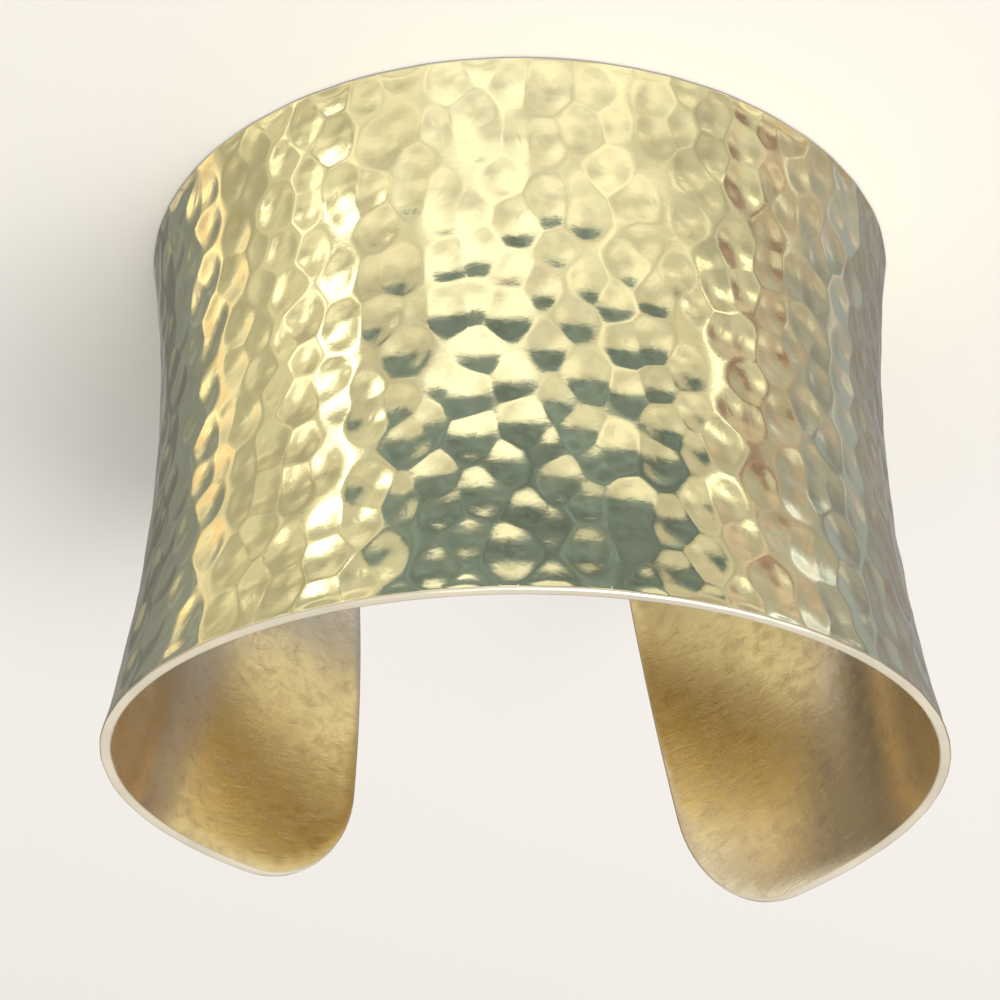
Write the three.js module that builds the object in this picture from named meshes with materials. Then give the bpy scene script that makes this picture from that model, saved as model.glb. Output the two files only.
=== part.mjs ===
// Hammered cuff bracelet, bent in one piece from sheet brass.
// Millimetres, +Z up. The cuff lies on one rim, with its back towards -Y and its mouth towards +Y.
//
// The flat blank is measured in u, along the sheet from the middle of the back,
// positive towards +X, and in v, across the sheet from rim to rim, positive upwards.

import * as THREE from "three";

// Blank
const CUFF_WIDTH = 45;
const HALF_LENGTH = 72.6;
const SHEET_THICKNESS = 0.85;
const CORNER_RADIUS = 9.5;
const CORNER_STEPS = 5;

// How much further round the wrist the upper corner of each free end reaches than its middle
const END_SLANT = { plusX: -0.9, minusX: -1.2 };

// Bend radius of the middle of the sheet, at shares of the half length
const BEND = [
  { share: 0, radius: 32 },
  { share: 0.3, radius: 28.2 },
  { share: 0.55, radius: 20.4 },
  { share: 0.8, radius: 36.7 },
  { share: 1, radius: 80 },
];
const BEND_STEPS = 600;
const BEND_REACH = 1.06;

// Flare of both rims, and the hand-bent twist of the free ends: how far the upper rim leans out
const RIM_FLARE = 2;
const END_TWIST = { plusX: -2.2, minusX: 5 };
const TWIST_START = 0.45;

// Marks of a slightly domed hammer on the outer face, in staggered columns across the sheet
const COLUMN_PITCH = 2.45;
const ROW_PITCH = 4.1;
const MARK_WANDER = 0.32;
const MARK_DEPTH = 0.17;
const MARK_DEPTH_SPREAD = 0.35;
const FACE_RADIUS = { alongU: 7, alongV: 12 };
const RIM_DEPTH_SHARE = 0.3;
const SMALLEST_MARK = 2;
const SHORTEST_RIDGE = 0.35;
const MARK_SEED = 4817;

const OUTER_FACE = SHEET_THICKNESS / 2;
const INNER_FACE = -SHEET_THICKNESS / 2;
const HALF_WIDTH = CUFF_WIDTH / 2;
const LONG_SHARE = FACE_RADIUS.alongU / FACE_RADIUS.alongV;

const goldFinish = new THREE.MeshStandardMaterial({
  color: 0xd8c27e,
  metalness: 1,
  roughness: 0.24,
  flatShading: true,
});

// Park-Miller generator: the same marks every time
function makeRandom(seed) {
  let state = seed;
  return () => {
    state = (state * 16807) % 2147483647;
    return state / 2147483647;
  };
}

function curvatureAt(share) {
  const last = BEND.length - 1;
  const next = Math.min(Math.max(BEND.findIndex((row) => row.share > share), 0) || last, last);
  const from = BEND[next - 1];
  const to = BEND[next];
  const along = THREE.MathUtils.clamp((share - from.share) / (to.share - from.share), 0, 1);
  return THREE.MathUtils.lerp(1 / from.radius, 1 / to.radius, along);
}

// Middle line of the +X half, seen from above, as places and directions at even steps
function bendMiddleLine() {
  const step = (HALF_LENGTH * BEND_REACH) / BEND_STEPS;
  const line = [{ x: 0, y: 0, angle: 0 }];
  for (let i = 1; i <= BEND_STEPS; i += 1) {
    const before = line[i - 1];
    const turn = curvatureAt(((i - 0.5) * step) / HALF_LENGTH) * step;
    const heading = before.angle + turn / 2;
    line.push({
      x: before.x + Math.cos(heading) * step,
      y: before.y + Math.sin(heading) * step,
      angle: before.angle + turn,
    });
  }
  return { step, line };
}

const middleLine = bendMiddleLine();

function middleAt(u) {
  const side = u < 0 ? -1 : 1;
  const place = Math.abs(u) / middleLine.step;
  const index = Math.min(Math.floor(place), BEND_STEPS - 1);
  const from = middleLine.line[index];
  const to = middleLine.line[index + 1];
  const along = place - index;
  return {
    x: side * THREE.MathUtils.lerp(from.x, to.x, along),
    y: THREE.MathUtils.lerp(from.y, to.y, along),
    angle: side * THREE.MathUtils.lerp(from.angle, to.angle, along),
  };
}

// Carries a point of the flat blank to its place on the bent cuff
function bend(u, v, height) {
  const middle = middleAt(u);
  const across = v / HALF_WIDTH;
  const share = (Math.abs(u) / HALF_LENGTH - TWIST_START) / (1 - TWIST_START);
  const twist = (u > 0 ? END_TWIST.plusX : END_TWIST.minusX) * THREE.MathUtils.clamp(share, 0, 1) ** 2;
  const outwards = RIM_FLARE * across ** 2 + twist * across + height;
  return new THREE.Vector3(
    middle.x + Math.sin(middle.angle) * outwards,
    middle.y - Math.cos(middle.angle) * outwards,
    v + HALF_WIDTH,
  );
}

// Blank: four slanted corners, each rounded, anticlockwise
function roundCorner(before, corner, after) {
  const toBefore = before.clone().sub(corner).normalize();
  const toAfter = after.clone().sub(corner).normalize();
  const halfAngle = toBefore.angleTo(toAfter) / 2;
  const inwards = toBefore.clone().add(toAfter).normalize();
  const centre = corner.clone().addScaledVector(inwards, CORNER_RADIUS / Math.sin(halfAngle));
  const start = corner.clone().addScaledVector(toBefore, CORNER_RADIUS / Math.tan(halfAngle));
  const sweep = Math.PI - 2 * halfAngle;
  const points = [];
  for (let i = 0; i <= CORNER_STEPS; i += 1) {
    points.push(start.clone().rotateAround(centre, (sweep * i) / CORNER_STEPS));
  }
  return points;
}

function drawBlank() {
  const corners = [
    new THREE.Vector2(HALF_LENGTH + END_SLANT.plusX, HALF_WIDTH),
    new THREE.Vector2(-HALF_LENGTH - END_SLANT.minusX, HALF_WIDTH),
    new THREE.Vector2(-HALF_LENGTH + END_SLANT.minusX, -HALF_WIDTH),
    new THREE.Vector2(HALF_LENGTH - END_SLANT.plusX, -HALF_WIDTH),
  ];
  return corners.flatMap((corner, i) => roundCorner(corners[(i + 3) % 4], corner, corners[(i + 1) % 4]));
}

// Hammer strikes, each a little off its place in the column and struck more or less hard
function layOutStrikes() {
  const random = makeRandom(MARK_SEED);
  const columns = Math.round(HALF_LENGTH / COLUMN_PITCH) + 1;
  const rows = Math.round(CUFF_WIDTH / ROW_PITCH) + 1;
  const strikes = [];
  for (let column = -columns; column <= columns; column += 1) {
    const stagger = column % 2 === 0 ? 0 : 0.5;
    for (let row = 0; row <= rows; row += 1) {
      const u = (column + (random() - 0.5) * 2 * MARK_WANDER) * COLUMN_PITCH;
      const v = (row - stagger + (random() - 0.5) * 2 * MARK_WANDER) * ROW_PITCH - HALF_WIDTH;
      const depth = MARK_DEPTH * (1 + (random() - 0.5) * 2 * MARK_DEPTH_SPREAD);
      strikes.push({ place: new THREE.Vector2(u, v), power: 2 * FACE_RADIUS.alongU * depth });
    }
  }
  return strikes;
}

// Square of a distance on the sheet, counted shorter along v, where the hammer face is flatter
function reachSquared(point) {
  return point.x ** 2 + LONG_SHARE * point.y ** 2;
}

// Keeps the part of a convex outline where normal . point <= limit
function cutOutline(outline, normal, limit) {
  const kept = [];
  outline.forEach((point, i) => {
    const next = outline[(i + 1) % outline.length];
    const here = limit - normal.dot(point);
    const there = limit - normal.dot(next);
    if (here >= 0) {
      kept.push(point);
    }
    if (here * there < 0) {
      kept.push(point.clone().lerp(next, here / (here - there)));
    }
  });
  return kept;
}

// The patch of the blank where one strike went deepest: two equal hammer faces meet on a straight ridge
function markOutline(strike, strikes, blank) {
  const reach = 3 * ROW_PITCH;
  let outline = blank;
  strikes.forEach((other) => {
    if (other === strike || other.place.distanceTo(strike.place) > reach) {
      return;
    }
    const normal = other.place.clone().sub(strike.place).multiplyScalar(2);
    normal.y *= LONG_SHARE;
    const limit = reachSquared(other.place) - reachSquared(strike.place) - other.power + strike.power;
    outline = cutOutline(outline, normal, limit);
  });
  return outline;
}

// Marks as outlines on the blank; a strike that its neighbours have all but hammered away is left out
function layOutMarks(blank) {
  let strikes = layOutStrikes();
  let outlines = [];
  let lost = true;
  while (lost) {
    outlines = strikes.map((strike) => markOutline(strike, strikes, blank));
    const kept = strikes.filter((strike, i) => {
      return outlines[i].length > 2 && THREE.ShapeUtils.area(outlines[i]) > SMALLEST_MARK;
    });
    lost = kept.length < strikes.length;
    strikes = kept;
  }
  return { strikes, outlines };
}

// One numbered corner for all outline points that lie closer than the shortest ridge, rim points first
function numberCorners(blank, outlines) {
  const corners = [];
  const onEdge = (point) => {
    return blank.some((from, i) => {
      const to = blank[(i + 1) % blank.length];
      return Math.abs(from.distanceTo(point) + point.distanceTo(to) - from.distanceTo(to)) < 1e-9;
    });
  };
  const findOrAdd = (point) => {
    let index = corners.findIndex((corner) => corner.distanceTo(point) < SHORTEST_RIDGE);
    if (index < 0) {
      index = corners.length;
      corners.push(point);
    }
    return index;
  };
  blank.forEach(findOrAdd);
  outlines.flat().filter(onEdge).forEach(findOrAdd);
  const loops = outlines.map((outline) => {
    const loop = outline.map(findOrAdd);
    return loop.filter((index, i) => index !== loop[(i + 1) % loop.length]);
  });
  return { corners, loops: loops.filter((loop) => loop.length > 2) };
}

function dentAt(point, strikes) {
  const deepest = strikes.reduce((least, strike) => {
    return Math.min(least, reachSquared(strike.place.clone().sub(point)) - strike.power);
  }, 0);
  return deepest / (2 * FACE_RADIUS.alongU);
}

function centreOf(points) {
  const sum = points.reduce((total, point) => total.add(point), new THREE.Vector2());
  return sum.divideScalar(points.length);
}

// Edges that only one loop uses run round the outside of the blank
function findRim(loops) {
  const edges = new Map();
  loops.forEach((loop) => {
    loop.forEach((from, i) => {
      const to = loop[(i + 1) % loop.length];
      edges.set(`${from} ${to}`, [from, to]);
    });
  });
  return [...edges.values()].filter(([from, to]) => !edges.has(`${to} ${from}`));
}

// Outer face dished mark by mark, inner face smooth, and a flat wall round the edge
function cuffGeometry() {
  const blank = drawBlank();
  const { strikes, outlines } = layOutMarks(blank);
  const { corners, loops } = numberCorners(blank, outlines);
  const rim = findRim(loops);
  const onRim = new Set(rim.flat());
  const outer = corners.map((point, i) => {
    const share = onRim.has(i) ? RIM_DEPTH_SHARE : 1;
    return bend(point.x, point.y, OUTER_FACE + share * dentAt(point, strikes));
  });
  const inner = corners.map((point) => bend(point.x, point.y, INNER_FACE));
  const centres = loops.map((loop) => centreOf(loop.map((index) => corners[index])));
  const pits = centres.map((point) => bend(point.x, point.y, OUTER_FACE + dentAt(point, strikes)));
  const firstInner = outer.length;
  const firstPit = firstInner + inner.length;
  const faces = [];
  loops.forEach((loop, mark) => {
    loop.forEach((from, i) => {
      const to = loop[(i + 1) % loop.length];
      faces.push(firstPit + mark, from, to);
      if (i > 0 && i < loop.length - 1) {
        faces.push(firstInner + loop[0], firstInner + to, firstInner + from);
      }
    });
  });
  rim.forEach(([from, to]) => {
    faces.push(to, from, firstInner + from);
    faces.push(to, firstInner + from, firstInner + to);
  });
  const geometry = new THREE.BufferGeometry().setFromPoints([...outer, ...inner, ...pits]);
  geometry.setIndex(faces);
  return geometry;
}

// The cuff stands centred over the origin, on its lower rim
function buildCuff() {
  const geometry = cuffGeometry();
  geometry.computeBoundingBox();
  const middle = geometry.boundingBox.getCenter(new THREE.Vector3());
  geometry.translate(-middle.x, -middle.y, 0);
  geometry.computeVertexNormals();
  const cuff = new THREE.Mesh(geometry, goldFinish);
  cuff.name = "cuff_band";
  return cuff;
}

const bracelet = new THREE.Group();
bracelet.add(buildCuff());

export default bracelet;
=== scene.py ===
import math

import bpy
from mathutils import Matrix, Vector
from mathutils.geometry import delaunay_2d_cdt


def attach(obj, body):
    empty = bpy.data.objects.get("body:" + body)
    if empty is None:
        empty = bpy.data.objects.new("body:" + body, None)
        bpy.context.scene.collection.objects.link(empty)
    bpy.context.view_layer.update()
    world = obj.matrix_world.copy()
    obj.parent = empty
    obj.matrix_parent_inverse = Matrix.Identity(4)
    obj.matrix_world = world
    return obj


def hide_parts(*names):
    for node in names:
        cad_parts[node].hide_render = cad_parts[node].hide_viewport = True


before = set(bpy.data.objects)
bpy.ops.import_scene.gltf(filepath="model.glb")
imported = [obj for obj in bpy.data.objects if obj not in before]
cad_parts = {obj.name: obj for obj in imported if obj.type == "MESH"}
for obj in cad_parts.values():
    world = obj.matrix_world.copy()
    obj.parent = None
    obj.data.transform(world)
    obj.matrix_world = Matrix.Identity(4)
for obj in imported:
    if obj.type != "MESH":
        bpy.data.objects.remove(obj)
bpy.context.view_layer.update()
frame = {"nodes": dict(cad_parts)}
mm = 0.001
print("frame loaded:", ", ".join(frame["nodes"]))

# The cuff lies on one rim: back towards -Y, mouth towards +Y.
# On the flat sheet, u runs round the wrist from the middle of the back and v from rim to rim.
cuff = {
    "node": "cuff_band",
    "width": 45 * mm,
    "halfLength": 72.6 * mm,
    "sheet": 0.85 * mm,
    "cornerRadius": 9.5 * mm,
    "endSlant": {1: -0.9 * mm, -1: -1.2 * mm},  # +X end and -X end
    "bend": [(0, 32 * mm), (0.3, 28.2 * mm), (0.55, 20.4 * mm), (0.8, 36.7 * mm), (1, 80 * mm)],
    "rimFlare": 2 * mm,
    "endTwist": {1: -2.2 * mm, -1: 5 * mm},
    "twistStart": 0.45,
    "edgeRound": 0.22 * mm,  # the filed edge is slightly rounded
    "edgeSteps": 3,
    "cornerSteps": 18,
    "ridgeStep": 0.5 * mm,  # mesh size along the ridges between marks
    "rings": [0.95, 0.8, 0.58, 0.32],  # and towards the middle of each mark
    "insideStep": 1.1 * mm,  # mesh size of the smooth inner face
    "insideMargin": 0.6,  # its first points stay this many steps off the edge
    "mapSpan": 160 * mm,  # length of sheet that the UV map is wide
    "mapRows": {"outer": 0.25, "inner": 0.75},  # where the two faces' middles lie in the map
}

# Marks of a slightly domed hammer, in staggered columns across the sheet
hammer = {
    "columnPitch": 2.45 * mm,
    "rowPitch": 4.1 * mm,
    "wander": 0.32,
    "faceRadius": (8.75 * mm, 15 * mm),  # along u and along v
    "depth": 0.136 * mm,
    "depthSpread": 0.35,
    "smallestMark": 2 * mm * mm,
    "shortestRidge": 0.3 * mm,
    "ridgeRound": 0.03 * mm,
    "rimFade": (0.6 * mm, 0.3),  # filing takes most of a mark away this close to the edge
    "endZone": 0.8,  # only past this share of the half length can an end be that close
    "firstSquare": 3,  # each mark is cut from a square this many row pitches to each side
    "neighbourReach": 2.2,  # by the strikes that are this many row pitches away or less
    "seed": 4817,
}


def makeRandom(seed):
    state = seed
    while True:
        state = state * 16807 % 2147483647
        yield state / 2147483647


def mix(a, b, share):
    return a + (b - a) * share


def clamp(value, low=0.0, high=1.0):
    return max(low, min(high, value))


def curvatureAt(share):
    rows = cuff["bend"]
    for (fromShare, fromRadius), (toShare, toRadius) in zip(rows, rows[1:]):
        if share <= toShare:
            return mix(1 / fromRadius, 1 / toRadius, (share - fromShare) / (toShare - fromShare))
    return 1 / rows[-1][1]


def bendMiddleLine(steps=600, reach=1.06):
    step = cuff["halfLength"] * reach / steps
    line = [(0.0, 0.0, 0.0)]
    for i in range(steps):
        x, y, angle = line[-1]
        turn = curvatureAt((i + 0.5) * step / cuff["halfLength"]) * step
        heading = angle + turn / 2
        line.append((x + math.cos(heading) * step, y + math.sin(heading) * step, angle + turn))
    return step, line


middleStep, middleLine = bendMiddleLine()


def bendPoint(u, v, height):
    side = -1 if u < 0 else 1
    place = abs(u) / middleStep
    index = min(int(place), len(middleLine) - 2)
    x, y, angle = [mix(a, b, place - index) for a, b in zip(middleLine[index], middleLine[index + 1])]
    across = v / (cuff["width"] / 2)
    share = clamp((abs(u) / cuff["halfLength"] - cuff["twistStart"]) / (1 - cuff["twistStart"]))
    outwards = cuff["rimFlare"] * across**2 + cuff["endTwist"][side] * share**2 * across + height
    return Vector((
        side * (x + math.sin(angle) * outwards),
        y - math.cos(angle) * outwards,
        v + cuff["width"] / 2,
    ))


def blankOutline(inset):
    half = cuff["width"] / 2 - inset
    radius = cuff["cornerRadius"] - inset
    reach = cuff["halfLength"] - inset
    slant = cuff["endSlant"]
    corners = [
        Vector((reach + slant[1], half)),
        Vector((-reach - slant[-1], half)),
        Vector((-reach + slant[-1], -half)),
        Vector((reach - slant[1], -half)),
    ]
    points = []
    for i, corner in enumerate(corners):
        toBefore = (corners[i - 1] - corner).normalized()
        toAfter = (corners[(i + 1) % 4] - corner).normalized()
        halfAngle = toBefore.angle(toAfter) / 2
        centre = corner + (toBefore + toAfter).normalized() * radius / math.sin(halfAngle)
        spoke = corner + toBefore * radius / math.tan(halfAngle) - centre
        start = math.atan2(spoke.y, spoke.x)
        sweep = math.pi - 2 * halfAngle
        for step in range(cuff["cornerSteps"] + 1):
            turned = start + sweep * step / cuff["cornerSteps"]
            points.append(centre + radius * Vector((math.cos(turned), math.sin(turned))))
    return points


def outwardsOf(before, after):
    along = (after - before).normalized()
    return Vector((along.y, -along.x))


def sidesOf(outline):
    return [(a, b, outwardsOf(a, b)) for a, b in zip(outline, outline[1:] + outline[:1])]


# The hammered face ends where the rounding of the edge begins
blank = blankOutline(cuff["edgeRound"])
blankSides = sidesOf(blank)


def layOutStrikes():
    random = makeRandom(hammer["seed"])
    columns = round(cuff["halfLength"] / hammer["columnPitch"]) + 1
    rows = round(cuff["width"] / hammer["rowPitch"]) + 1
    strikes = []
    for column in range(-columns, columns + 1):
        for row in range(rows + 1):
            stagger = 0.5 if column % 2 else 0
            u = (column + (next(random) - 0.5) * 2 * hammer["wander"]) * hammer["columnPitch"]
            v = (row - stagger + (next(random) - 0.5) * 2 * hammer["wander"]) * hammer["rowPitch"]
            depth = hammer["depth"] * (1 + (next(random) - 0.5) * 2 * hammer["depthSpread"])
            power = 2 * hammer["faceRadius"][0] * depth
            strikes.append((Vector((u, v - cuff["width"] / 2)), power))
    return strikes


longShare = hammer["faceRadius"][0] / hammer["faceRadius"][1]


def weigh(strike, point):
    place, power = strike
    return (point.x - place.x) ** 2 + longShare * (point.y - place.y) ** 2 - power


def cutOutline(outline, normal, limit):
    kept = []
    for point, after in zip(outline, outline[1:] + outline[:1]):
        here = limit - normal.dot(point)
        there = limit - normal.dot(after)
        if here >= 0:
            kept.append(point)
        if here * there < 0:
            kept.append(point.lerp(after, here / (here - there)))
    return kept


# Where two marks meet, the ridge is the line on which both hammers went equally deep
def markOutline(strike, neighbours):
    place, power = strike
    size = hammer["firstSquare"] * hammer["rowPitch"]
    outline = [place + Vector(corner) * size for corner in ((1, 1), (-1, 1), (-1, -1), (1, -1))]
    for other, otherPower in neighbours:
        normal = Vector((2 * (other.x - place.x), 2 * longShare * (other.y - place.y)))
        limit = (other.x**2 + longShare * other.y**2 - otherPower) - (
            place.x**2 + longShare * place.y**2 - power)
        outline = cutOutline(outline, normal, limit)
    for point, after, outwards in blankSides:
        normal = Vector((after.y - point.y, point.x - after.x))
        outline = cutOutline(outline, normal, normal.dot(point))
    return outline


def areaOf(outline):
    return sum(a.x * b.y - b.x * a.y for a, b in zip(outline, outline[1:] + outline[:1])) / 2


def layOutMarks():
    strikes = layOutStrikes()
    reach = hammer["neighbourReach"] * hammer["rowPitch"]
    while True:
        marks = []
        for strike in strikes:
            near = [other for other in strikes if 0 < (other[0] - strike[0]).length < reach]
            outline = markOutline(strike, near)
            if len(outline) > 2 and areaOf(outline) > hammer["smallestMark"]:
                marks.append((strike, near, outline))
        if len(marks) == len(strikes):
            return marks
        strikes = [mark[0] for mark in marks]


def fromEdge(point):
    return min((corner - point).dot(outwards) for corner, after, outwards in blankSides)


def dentAt(point, strikes):
    soft = hammer["ridgeRound"]
    depths = [weigh(strike, point) / (2 * hammer["faceRadius"][0]) for strike in strikes]
    deepest = min(depths)
    blended = deepest - soft * math.log(sum(math.exp((deepest - depth) / soft) for depth in depths))
    reach, least = hammer["rimFade"]
    share = 1
    endZone = cuff["halfLength"] * hammer["endZone"]
    if abs(point.y) > cuff["width"] / 2 - 2 * reach or abs(point.x) > endZone:
        share = mix(least, 1, clamp(fromEdge(point) / reach))
    return share * (blended - math.sqrt(blended**2 + soft**2)) / 2


def buildCuff():
    marks = layOutMarks()
    print("hammer marks:", len(marks))
    flat = []  # every vertex as (u, v, height above the middle of the sheet)
    faces = []
    faceFinishes = []  # 0 hammered, 1 edge, 2 inside
    outerHeight = cuff["sheet"] / 2

    def addVertex(point, height):
        flat.append((point.x, point.y, height))
        return len(flat) - 1

    def addFace(corners, finish):
        if len(set(corners)) > 2:
            faces.append([c for i, c in enumerate(corners) if c != corners[i - 1]])
            faceFinishes.append(finish)

    # corners of the marks, with those closer than the shortest ridge taken as one, the edge's first
    cells = {}
    size = hammer["shortestRidge"]

    def findOrAdd(point, near):
        column, row = int(point.x // size), int(point.y // size)
        for i in range(column - 1, column + 2):
            for j in range(row - 1, row + 2):
                for other, index in cells.get((i, j), []):
                    if (other - point).length < size:
                        return index
        index = addVertex(point, outerHeight + dentAt(point, near))
        cells.setdefault((column, row), []).append((point, index))
        return index

    def onEdge(point):
        return any(abs((a - point).length + (point - b).length - (a - b).length) < 1e-9
                   for a, b, outwards in blankSides)

    for point in blank:
        nearest = min(marks, key=lambda mark: weigh(mark[0], point))
        findOrAdd(point, [nearest[0]] + nearest[1])
    for strike, near, outline in marks:
        for point in outline:
            if onEdge(point):
                findOrAdd(point, [strike] + near)
    loops = []
    for strike, near, outline in marks:
        loop = [findOrAdd(point, [strike] + near) for point in outline]
        loops.append([c for i, c in enumerate(loop) if c != loop[i - 1]])

    # ridges, cut into short steps that both marks beside them share
    ridges = {}

    def ridgeSteps(a, b, near):
        if (b, a) in ridges:
            return ridges[(b, a)][::-1]
        start, end = Vector(flat[a][:2]), Vector(flat[b][:2])
        count = max(1, round((end - start).length / cuff["ridgeStep"]))
        inner = [start.lerp(end, k / count) for k in range(1, count)]
        ridges[(a, b)] = [a] + [addVertex(p, outerHeight + dentAt(p, near)) for p in inner] + [b]
        return ridges[(a, b)]

    rimNext = {}
    for (strike, near, outline), loop in zip(marks, loops):
        if len(loop) < 3:
            continue
        around = []
        for a, b in zip(loop, loop[1:] + loop[:1]):
            around += ridgeSteps(a, b, [strike] + near)[:-1]
        middle = sum((Vector(flat[c][:2]) for c in loop), Vector((0, 0))) / len(loop)
        before = around
        for share in cuff["rings"]:
            ring = []
            for corner in around:
                point = middle.lerp(Vector(flat[corner][:2]), share)
                ring.append(addVertex(point, outerHeight + dentAt(point, [strike] + near)))
            for i in range(len(ring)):
                addFace([before[i - 1], before[i], ring[i], ring[i - 1]], 0)
            before = ring
        bottom = addVertex(middle, outerHeight + dentAt(middle, [strike] + near))
        for i in range(len(before)):
            addFace([before[i - 1], before[i], bottom], 0)
    ridgeUses = {}
    for loop in loops:
        for a, b in zip(loop, loop[1:] + loop[:1]):
            ridgeUses[frozenset((a, b))] = ridgeUses.get(frozenset((a, b)), 0) + 1
    for (a, b), steps in ridges.items():
        if ridgeUses[frozenset((a, b))] == 1:
            rimNext.update(zip(steps, steps[1:]))
    first = next(iter(rimNext))
    rim = [first]
    while rimNext[rim[-1]] != first:
        rim.append(rimNext[rim[-1]])
    print("edge vertices:", len(rim), "of", len(rimNext))

    # the filed edge, swept round the blank from the outer face to the inner one
    radius = cuff["edgeRound"]
    quarter = [math.radians(90 * (k + 1) / cuff["edgeSteps"]) for k in range(cuff["edgeSteps"])]
    half = cuff["sheet"] / 2
    profile = [(radius * math.sin(a), half - radius + radius * math.cos(a), True) for a in quarter]
    profile += [(outset, -height, False) for outset, height, hammered in profile[::-1]]
    profile.append((0, -half, False))
    places = [Vector(flat[c][:2]) for c in rim]
    rows = [rim]
    ways = [outwardsOf(places[i - 1], places[(i + 1) % len(places)]) for i in range(len(places))]
    for outset, height, hammered in profile:
        row = []
        for i, place in enumerate(places):
            dent = flat[rim[i]][2] - half if hammered else 0
            row.append(addVertex(place + ways[i] * outset, height + dent))
        rows.append(row)
    for upper, lower in zip(rows, rows[1:]):
        for i in range(len(rim)):
            addFace([upper[i], upper[i - 1], lower[i - 1], lower[i]], 1)

    # the smooth inner face, filled in from its own edge
    innerRim = rows[-1]
    points = [Vector(flat[c][:2]) for c in innerRim]
    step = cuff["insideStep"]
    rowStep = step * math.sqrt(3) / 2
    indices = list(innerRim)
    margin = blankOutline(cuff["edgeRound"] + step * cuff["insideMargin"])
    marginSides = sidesOf(margin)
    rowsAcross = int(cuff["width"] / rowStep / 2)
    columnsRound = int(cuff["halfLength"] * 1.05 / step)
    for row in range(-rowsAcross, rowsAcross + 1):
        for column in range(-columnsRound, columnsRound + 1):
            point = Vector(((column + (row % 2) / 2) * step, row * rowStep))
            if all(outwards.dot(point - a) < 0 for a, b, outwards in marginSides):
                points.append(point)
                indices.append(addVertex(point, -half))
    edges = [(i, (i + 1) % len(innerRim)) for i in range(len(innerRim))]
    filled = delaunay_2d_cdt([point / mm for point in points], edges, [], 1, 1e-7)
    filledPoints, triangles, sources = filled[0], filled[2], filled[3]
    if len(filledPoints) != len(points):
        raise ValueError("the inner face gained or lost points")
    for corners in triangles:
        ordered = [indices[sources[c][0]] for c in corners]
        flats = [Vector(flat[c][:2]) for c in ordered]
        if areaOf(flats) > 0:
            ordered = ordered[::-1]
        addFace(ordered, 2)

    # bend it all, centre it and make the mesh
    bent = [bendPoint(*point) for point in flat]
    low = [min(p[k] for p in bent) for k in range(3)]
    high = [max(p[k] for p in bent) for k in range(3)]
    shift = Vector(((low[0] + high[0]) / 2, (low[1] + high[1]) / 2, 0))
    print("shift of the middle:", [round(x * 1000, 3) for x in shift])
    mesh = bpy.data.meshes.new("hammered_cuff")
    mesh.from_pydata([p - shift for p in bent], [], faces)
    mesh.update()
    mesh.polygons.foreach_set("material_index", faceFinishes)
    sheetMap = mesh.uv_layers.new(name="sheet")
    span = cuff["mapSpan"]
    for polygon, finish in zip(mesh.polygons, faceFinishes):
        across = cuff["mapRows"]["outer" if finish < 2 else "inner"]
        for corner in polygon.loop_indices:
            u, v, height = flat[mesh.loops[corner].vertex_index]
            sheetMap.data[corner].uv = (u / span + 0.5, v / span + across)
    piece = bpy.data.objects.new("hammered_cuff", mesh)
    bpy.context.collection.objects.link(piece)
    bpy.ops.object.select_all(action="DESELECT")
    piece.select_set(True)
    bpy.context.view_layer.objects.active = piece
    bpy.ops.object.shade_smooth()
    print("cuff triangles:", sum(len(p.vertices) - 2 for p in mesh.polygons))
    return piece


def addNode(tree, kind, inputs=None, **settings):
    node = tree.nodes.new(kind)
    for name, value in settings.items():
        setattr(node, name, value)
    for socket, value in (inputs or {}).items():
        if isinstance(value, bpy.types.NodeSocket):
            tree.links.new(value, node.inputs[socket])
        else:
            node.inputs[socket].default_value = value
    return node


def addMath(tree, operation, *values):
    return addNode(tree, "ShaderNodeMath", dict(enumerate(values)), operation=operation).outputs[0]


def addRange(tree, value, low, high, to=(0, 1)):
    inputs = {"Value": value, "From Min": low, "From Max": high, "To Min": to[0], "To Max": to[1]}
    return addNode(tree, "ShaderNodeMapRange", inputs, interpolation_type="SMOOTHSTEP").outputs[0]


def addMix(tree, share, first, second, **settings):
    inputs = {0: share, 6: first, 7: second}
    return addNode(tree, "ShaderNodeMix", inputs, data_type="RGBA", **settings).outputs[2]


def addRamp(tree, value, stops):
    node = addNode(tree, "ShaderNodeValToRGB", {0: value})
    ramp = node.color_ramp
    while len(ramp.elements) < len(stops):
        ramp.elements.new(0.5)
    for element, (place, colour) in zip(ramp.elements, stops):
        element.position = place
        element.color = (*colour, 1)
    return node.outputs[0]


# Noises of the wear, with scales along u and v per width of the UV map
wearPatterns = {
    "clouds": {"scale": (18, 18), "detail": 3},
    "mottle": {"scale": (90, 120), "detail": 4, "roughness": 0.65, "distortion": 0.6},
    "ripple": {"scale": (170, 230), "detail": 2, "roughness": 0.5, "distortion": 0.3},
    "grain": {"scale": (700, 700), "detail": 3},
    "hairlines": {"scale": (60, 1500), "detail": 3, "roughness": 0.6, "distortion": 0.15},
    "streaks": {"scale": (60, 520), "detail": 2, "roughness": 0.5, "distortion": 0.3, "turn": 14},
    "speckSizes": {"scale": (40, 40), "detail": 1},
}
specks = {"perMapWidth": 110, "size": 0.16}
bumpHeight = 0.02 * mm


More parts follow.
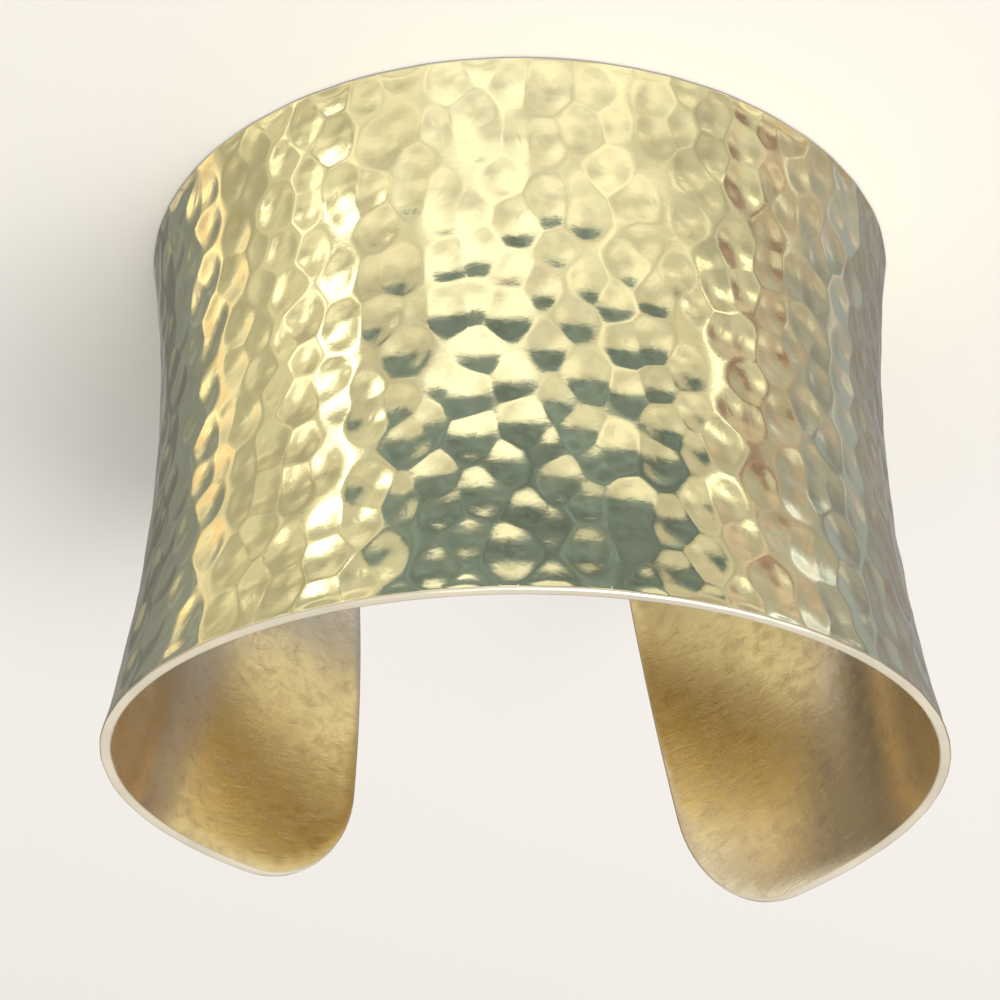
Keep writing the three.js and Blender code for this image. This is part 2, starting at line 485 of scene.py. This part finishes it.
# Wear that every face of the sheet has: slow tone changes, grain, scratches along u, and specks
def makeWearGroup():
    group = bpy.data.node_groups.new("sheetWear", "ShaderNodeTree")
    for name in ("Colour", "Stain Colour"):
        group.interface.new_socket(name, in_out="INPUT", socket_type="NodeSocketColor")
    for name in ("Stains", "Roughness", "Roughness Spread", "Ripple", "Grain", "Scratches", "Specks"):
        group.interface.new_socket(name, in_out="INPUT", socket_type="NodeSocketFloat")
    group.interface.new_socket("Colour", in_out="OUTPUT", socket_type="NodeSocketColor")
    for name in ("Roughness", "Height"):
        group.interface.new_socket(name, in_out="OUTPUT", socket_type="NodeSocketFloat")
    given = group.nodes.new("NodeGroupInput").outputs
    sheet = addNode(group, "ShaderNodeUVMap", uv_map="sheet").outputs[0]

    def noise(name):
        pattern = wearPatterns[name]
        rotation = (0, 0, math.radians(pattern.get("turn", 0)))
        turned = addNode(group, "ShaderNodeMapping", {"Vector": sheet, "Rotation": rotation})
        scaled = addNode(group, "ShaderNodeMapping", {
            "Vector": turned.outputs[0], "Scale": (*pattern["scale"], 1)})
        return addNode(group, "ShaderNodeTexNoise", {
            "Vector": scaled.outputs[0],
            "Scale": 1,
            "Detail": pattern["detail"],
            "Roughness": pattern.get("roughness", 0.55),
            "Distortion": pattern.get("distortion", 0),
        }).outputs[0]

    hairlines = addRange(group, noise("hairlines"), 0.35, 0.75)
    streaks = addRange(group, noise("streaks"), 0.5, 0.8)
    scratches = addMath(group, "MULTIPLY_ADD", streaks, 1.2, hairlines)
    scale = (specks["perMapWidth"], specks["perMapWidth"], 1)
    scaled = addNode(group, "ShaderNodeMapping", {"Vector": sheet, "Scale": scale})
    cells = addNode(group, "ShaderNodeTexVoronoi", {"Vector": scaled.outputs[0], "Scale": 1})
    speckSize = addMath(group, "MULTIPLY", addRange(group, noise("speckSizes"), 0.5, 0.7), specks["size"])
    inSpeck = addMath(group, "LESS_THAN", cells.outputs["Distance"], speckSize)
    inSpeck = addMath(group, "MULTIPLY", inSpeck, given["Specks"])

    mottle = noise("mottle")
    stains = addMath(group, "MULTIPLY", addRange(group, mottle, 0.42, 0.72), given["Stains"])
    stains = addMath(group, "ADD", stains, inSpeck)
    brightness = addRange(group, noise("clouds"), 0.3, 0.7, (0.9, 1.06))
    tone = addMix(group, brightness, (0, 0, 0, 1), given["Colour"], clamp_factor=False)
    colour = addMix(group, stains, tone, given["Stain Colour"])

    rough = addMath(group, "ADD", addRange(group, mottle, 0.3, 0.75, (-0.4, 1)),
                    addMath(group, "MULTIPLY", scratches, 0.4))
    rough = addMath(group, "MULTIPLY_ADD", rough, given["Roughness Spread"], given["Roughness"])

    height = addMath(group, "MULTIPLY", noise("ripple"), given["Ripple"])
    height = addMath(group, "MULTIPLY_ADD", noise("grain"), given["Grain"], height)
    height = addMath(group, "SUBTRACT", height, addMath(group, "MULTIPLY", scratches, given["Scratches"]))
    height = addMath(group, "SUBTRACT", height, inSpeck)
    result = addNode(group, "NodeGroupOutput")
    for name, value in {"Colour": colour, "Roughness": rough, "Height": height}.items():
        group.links.new(value, result.inputs[name])
    return group


# In the order of the mesh's material slots: hammered face, edge, inner face
finishes = {
    "hammeredGold": {"Colour": (0.93, 0.855, 0.5, 1), "Stain Colour": (0.75, 0.62, 0.34, 1),
                     "Stains": 0.12, "Roughness": 0.1, "Roughness Spread": 0.03, "Ripple": 0.3,
                     "Grain": 0.05, "Scratches": 0.01, "Specks": 0.1},
    "edgeGold": {"Colour": (0.77, 0.71, 0.57, 1), "Stain Colour": (0.7, 0.55, 0.4, 1),
                 "Stains": 0.2, "Roughness": 0.3, "Roughness Spread": 0.1, "Ripple": 0.5,
                 "Grain": 0.2, "Scratches": 0.2, "Specks": 0.1},
    "insideGold": {"Colour": (0.92, 0.83, 0.58, 1), "Stain Colour": (0.6, 0.45, 0.26, 1),
                   "Stains": 0.5, "Roughness": 0.17, "Roughness Spread": 0.1, "Ripple": 0.5,
                   "Grain": 0.12, "Scratches": 0.12, "Specks": 0.15},
}


def makeFinish(name, wear):
    material = bpy.data.materials.new(name)
    material.use_nodes = True
    tree = material.node_tree
    shader = tree.nodes["Principled BSDF"]
    shader.inputs["Metallic"].default_value = 1
    worn = addNode(tree, "ShaderNodeGroup", node_tree=wear)
    for socket, value in finishes[name].items():
        worn.inputs[socket].default_value = value
    bump = addNode(tree, "ShaderNodeBump", {"Distance": bumpHeight, "Height": worn.outputs["Height"]})
    tree.links.new(worn.outputs["Colour"], shader.inputs["Base Color"])
    tree.links.new(worn.outputs["Roughness"], shader.inputs["Roughness"])
    tree.links.new(bump.outputs[0], shader.inputs["Normal"])
    return material


stage = {
    "floorSize": 40,
    "paper": (0.56, 0.55, 0.535, 1),
    "paperRoughness": 0.9,
    "softbox": {"location": (-0.5, -0.7, 1.1), "size": 0.9, "power": 20, "colour": (1, 0.97, 0.93)},
}


def makeStage():
    bpy.ops.mesh.primitive_plane_add(size=stage["floorSize"], location=(0, 0, 0))
    floor = bpy.context.active_object
    floor.name = "floor"
    paper = bpy.data.materials.new("palePaper")
    paper.use_nodes = True
    shader = paper.node_tree.nodes["Principled BSDF"]
    shader.inputs["Base Color"].default_value = stage["paper"]
    shader.inputs["Roughness"].default_value = stage["paperRoughness"]
    floor.data.materials.append(paper)
    floor.visible_glossy = False  # so the metal mirrors the studio below the horizon too


# Soft light all round. Turns are degrees from the front (-Y) towards +X, and heights are sines of the
# angle above the cuff.
studio = {
    "walls": [
        (-180, (0.32, 0.30, 0.28)),
        (-130, (0.32, 0.33, 0.38)),
        (-112, (0.32, 0.35, 0.42)),
        (-100, (0.44, 0.44, 0.50)),
        (-82, (0.58, 0.54, 0.51)),
        (-52, (0.64, 0.62, 0.56)),
        (-24, (0.97, 0.95, 0.88)),
        (-4, (1.0, 0.99, 0.95)),
        (4, (1.08, 1.08, 1.06)),
        (24, (1.16, 1.16, 1.14)),
        (31, (0.90, 0.88, 0.81)),
        (60, (0.66, 0.64, 0.56)),
        (107, (0.68, 0.64, 0.52)),
        (112, (0.22, 0.25, 0.28)),
        (150, (0.26, 0.27, 0.28)),
        (180, (0.32, 0.30, 0.28)),
    ],
    "lean": 18,  # degrees that the walls' bands turn by from the height of the cuff to straight down
    "leanFrom": -0.45,  # height at which the walls' turns hold
    "haze": {"heights": (-0.5, -0.34), "turns": (80, 100), "colour": (0.8, 0.6, 0.42, 1)},
    "ceiling": {"heights": (0, 0.25), "colour": (0.95, 0.93, 0.9, 1)},
    # noises over the walls: the part of the noise that is used, and what it becomes
    "patches": {"scale": 5.5, "detail": 2, "used": (0.3, 0.7), "to": (0.68, 1.22)},
    "sideGlints": {"scale": 7, "detail": 1, "used": (0.54, 0.66), "to": (0, 0.6)},
    "sideGlintTurns": ((25, 55), (128, 118)),  # where they fade in and out, on both sides
    "doorwayGlints": {"scale": 17, "detail": 1, "used": (0.52, 0.62), "to": (0, 0.6)},
    "hues": {"scale": 9, "detail": 2, "used": (0.3, 0.7), "to": (0, 1)},
    "hueShares": (0.1, 0.5),  # how far patches differ in hue: all round, and on the cuff's -X side
    "hueTurns": (-45, -75),
    "tints": [
        (0.2, (1.2, 0.88, 0.86)),
        (0.45, (1.02, 1, 0.98)),
        (0.7, (0.95, 1, 1.05)),
        (0.95, (1, 1.12, 1.3)),
    ],
    "panelSoftness": {"height": 0.006, "turn": 1},
    # lamps, windows and wall colours that reach from one height to another
    "panels": [
        {"middle": -154, "half": 26, "top": 0, "bottom": -0.40, "colour": (0.36, 0.25, 0.13)},
        {"middle": 157, "half": 23, "top": 0, "bottom": -0.38, "colour": (0.38, 0.26, 0.13)},
        {"middle": 103, "half": 4, "top": -0.46, "bottom": -0.60, "colour": (0.95, 0.76, 0.52)},
        {"middle": 112, "half": 8, "top": -0.29, "bottom": -0.46, "colour": (0.52, 0.46, 0.44)},
        {"middle": 138, "half": 4, "top": -0.44, "bottom": -0.52, "colour": (0.55, 0.53, 0.45)},
        {"middle": -122, "half": 12, "top": -0.72, "bottom": -0.88, "colour": (1.3, 1.1, 0.85)},
        {"middle": 122, "half": 12, "top": -0.72, "bottom": -0.88, "colour": (1.3, 1.1, 0.85)},
        {"middle": 56, "half": 5, "top": -0.54, "bottom": -0.68, "colour": (1.9, 1.85, 1.75)},
        {"middle": 68, "half": 2.5, "top": -0.42, "bottom": -0.60, "colour": (1.6, 1.55, 1.4)},
        {"middle": -57, "half": 3, "top": -0.56, "bottom": -0.62, "colour": (1.5, 1.4, 1.2)},
        {"middle": -68, "half": 3, "top": -0.52, "bottom": -0.66, "colour": (0.34, 0.24, 0.24)},
        {"middle": -78, "half": 5, "top": -0.30, "bottom": -0.42, "colour": (0.85, 0.64, 0.48)},
        {"middle": -96, "half": 5, "top": -0.66, "bottom": -0.80, "colour": (0.95, 1.05, 1.25)},
    ],
    "doorway": {"middle": -2, "half": 46, "top": -0.66, "bottom": -0.83, "colour": (0.165, 0.22, 0.26)},
}


def makeWorld():
    world = bpy.data.worlds.new("studio")
    world.use_nodes = True
    tree = world.node_tree
    direction = addNode(tree, "ShaderNodeTexCoord").outputs["Generated"]
    x, y, z = addNode(tree, "ShaderNodeSeparateXYZ", {0: direction}).outputs
    turn = addMath(tree, "ARCTAN2", x, addMath(tree, "MULTIPLY", y, -1))
    turn = addMath(tree, "DEGREES", turn)
    aside = addMath(tree, "ABSOLUTE", turn)

    def noise(name):
        spec = studio[name]
        inputs = {"Vector": direction, "Scale": spec["scale"], "Detail": spec["detail"]}
        node = addNode(tree, "ShaderNodeTexNoise", inputs)
        return addRange(tree, node.outputs[0], *spec["used"], spec["to"])

    def multiply(first, second):
        return addNode(tree, "ShaderNodeVectorMath", {0: first, 1: second}, operation="MULTIPLY").outputs[0]

    def insidePanel(spec):
        softHeight, softTurn = studio["panelSoftness"]["height"], studio["panelSoftness"]["turn"]
        below = addRange(tree, z, spec["top"] + softHeight, spec["top"] - softHeight)
        above = addRange(tree, z, spec["bottom"] - softHeight, spec["bottom"] + softHeight)
        off = addMath(tree, "ABSOLUTE", addMath(tree, "SUBTRACT", turn, spec["middle"]))
        near = addRange(tree, off, spec["half"] + softTurn, spec["half"] - softTurn)
        return addMath(tree, "MULTIPLY", addMath(tree, "MULTIPLY", below, above), near)

    leaning = addMath(tree, "MULTIPLY_ADD", z, studio["lean"], turn)
    place = addMath(tree, "MULTIPLY_ADD", leaning, 1 / 360, 0.5)
    shift = studio["leanFrom"] * studio["lean"]
    stops = [((angle + shift) / 360 + 0.5, colour) for angle, colour in studio["walls"]]
    walls = addRamp(tree, place, stops)
    haze = studio["haze"]
    hazy = addRange(tree, z, *haze["heights"])
    hazy = addMath(tree, "MULTIPLY", hazy, addRange(tree, aside, *haze["turns"]))
    seen = multiply(walls, addMix(tree, hazy, (1, 1, 1, 1), haze["colour"]))

    for spec in studio["panels"]:
        seen = addMix(tree, insidePanel(spec), seen, (*spec["colour"], 1))
    doorway = insidePanel(studio["doorway"])
    seen = addMix(tree, doorway, seen, (*studio["doorway"]["colour"], 1))

    fadeIn, fadeOut = [addRange(tree, aside, *turns) for turns in studio["sideGlintTurns"]]
    glints = addMath(tree, "MULTIPLY", addMath(tree, "MULTIPLY", fadeIn, fadeOut), noise("sideGlints"))
    glints = addMath(tree, "MULTIPLY_ADD", doorway, noise("doorwayGlints"), glints)
    patches = addMath(tree, "ADD", noise("patches"), glints)
    seen = addNode(tree, "ShaderNodeVectorMath", {0: seen, "Scale": patches}, operation="SCALE").outputs[0]

    tints = addRamp(tree, noise("hues"), studio["tints"])
    share = addRange(tree, turn, *studio["hueTurns"], studio["hueShares"])
    seen = multiply(seen, addMix(tree, share, (1, 1, 1, 1), tints))
    ceiling = studio["ceiling"]
    seen = addMix(tree, addRange(tree, z, *ceiling["heights"]), seen, ceiling["colour"])
    tree.links.new(seen, tree.nodes["Background"].inputs["Color"])
    bpy.context.scene.world = world


def addSoftbox():
    spec = stage["softbox"]
    bpy.ops.object.light_add(type="AREA", location=spec["location"])
    lamp = bpy.context.active_object
    lamp.name = "keySoftbox"
    lamp.data.size = spec["size"]
    lamp.data.energy = spec["power"]
    lamp.data.color = spec["colour"]
    toCuff = Vector((0, 0, cuff["width"] / 2)) - Vector(spec["location"])
    lamp.rotation_euler = toCuff.to_track_quat("-Z", "Y").to_euler()


view = {
    "location": Vector((10.56, -136.28, 107.79)) * mm,
    "turn": (-57.53, -0.06, -176.37),  # degrees; the photo's top is the cuff's lower rim
    "lens": 73.6,
    "sensor": 36,
    "clip": (0.01, 20),
}


def makeCamera():
    bpy.ops.object.camera_add(location=view["location"])
    camera = bpy.context.active_object
    camera.rotation_euler = [math.radians(angle) for angle in view["turn"]]
    camera.data.sensor_width = view["sensor"]
    camera.data.lens = view["lens"]
    camera.data.clip_start, camera.data.clip_end = view["clip"]
    bpy.context.scene.camera = camera


bpy.ops.object.select_all(action="DESELECT")
piece = buildCuff()
wear = makeWearGroup()
for name in finishes:
    piece.data.materials.append(makeFinish(name, wear))
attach(piece, "root")
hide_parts(cuff["node"])
print("cuff dressed")

makeStage()
makeWorld()
addSoftbox()
bpy.context.scene.view_settings.view_transform = "Standard"
makeCamera()
print("stage, lights and camera set")
